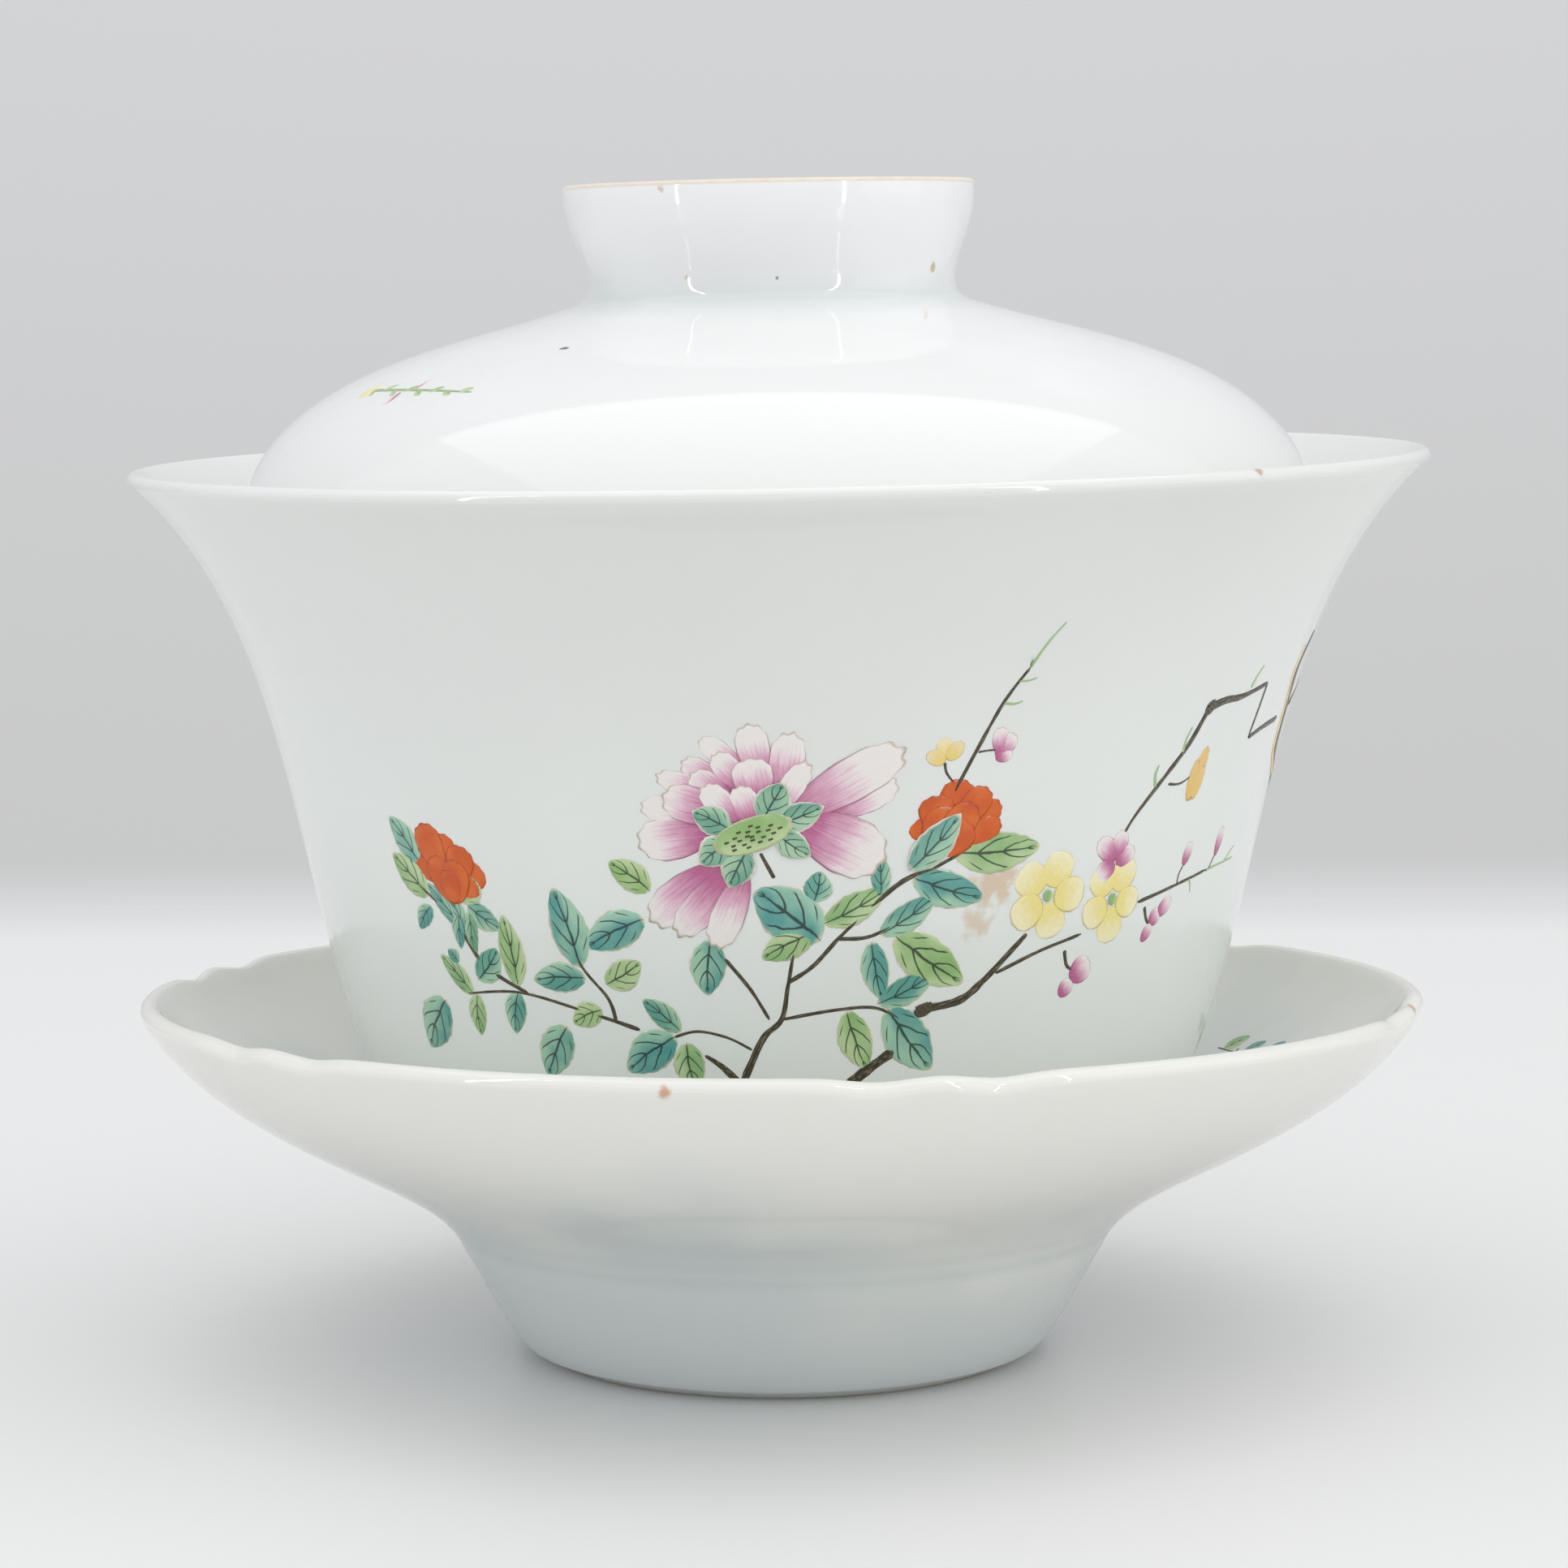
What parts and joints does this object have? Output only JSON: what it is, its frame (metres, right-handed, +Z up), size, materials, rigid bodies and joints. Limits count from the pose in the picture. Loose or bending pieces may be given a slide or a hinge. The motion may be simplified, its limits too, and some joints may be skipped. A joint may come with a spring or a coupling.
{
  "type": "gaiwan",
  "caption": "Lidded porcelain tea bowl with a flared mouth on a deep footed saucer, for brewing and drinking tea.",
  "frame": {"origin": "centre of the saucer's base, on the surface that the gaiwan stands on", "axes": "+Z up along the common axis of the saucer, bowl and lid; -Y towards the painted front"},
  "size_m": [0.11, 0.11, 0.0998],
  "materials": {
    "saucer_porcelain": "polished",
    "bowl_porcelain": "polished",
    "lid_porcelain": "polished",
    "bare_porcelain": "matte",
    "leaf_enamel": "gloss",
    "rose_enamel": "gloss",
    "yellow_enamel": "gloss",
    "iron_red_enamel": "satin",
    "line_enamel": "satin"
  },
  "bodies": {
    "saucer": {"saucer": "saucer_porcelain"},
    "bowl": {"bowl": "bowl_porcelain"},
    "lid": {"lid": "lid_porcelain"}
  },
  "joints": [
    {"name": "bowl_lift", "type": "slide", "parent": "saucer", "child": "bowl", "axis": [0, 0, 1], "range_m": [0, 0.06]},
    {"name": "lid_lift", "type": "slide", "parent": "bowl", "child": "lid", "axis": [0, 0, 1], "range_m": [0, 0.05]}
  ]
}
